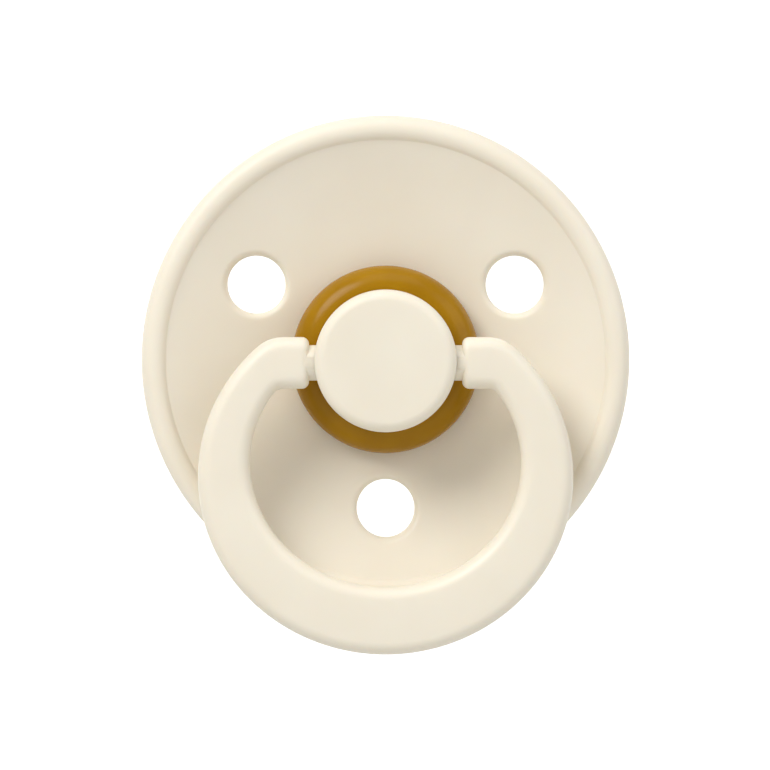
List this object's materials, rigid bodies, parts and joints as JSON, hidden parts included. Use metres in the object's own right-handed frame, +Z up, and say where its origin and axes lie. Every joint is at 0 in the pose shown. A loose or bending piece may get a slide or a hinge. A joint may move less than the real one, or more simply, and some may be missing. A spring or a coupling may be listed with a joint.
{
  "type": "baby pacifier",
  "caption": "Round-shield baby pacifier with a natural rubber teat, a vented plastic shield, a press-fitted knob and a swinging ring handle.",
  "frame": {"origin": "on the shield's axis, at the middle of the shield's face towards the mouth", "axes": "+Z up towards the nose as worn, -Y out of the knob's flat face, the teat along +Y; the ring hangs down -Z at rest"},
  "size_m": [0.043, 0.039, 0.0472],
  "materials": {
    "cream_plastic": "satin",
    "inner_plastic": "satin",
    "amber_rubber": "satin"
  },
  "bodies": {
    "pacifier_body": {"shield": "cream_plastic", "teat": "amber_rubber", "locking_plug": "inner_plastic", "knob_cap": "cream_plastic"},
    "ring": {"ring_handle": "cream_plastic"}
  },
  "joints": [
    {"name": "ring_swing", "type": "hinge", "parent": "pacifier_body", "child": "ring", "pos_m": [0, -0.0083, -0.0002], "axis": [-1, 0, 0], "range_deg": [0, 180]}
  ]
}
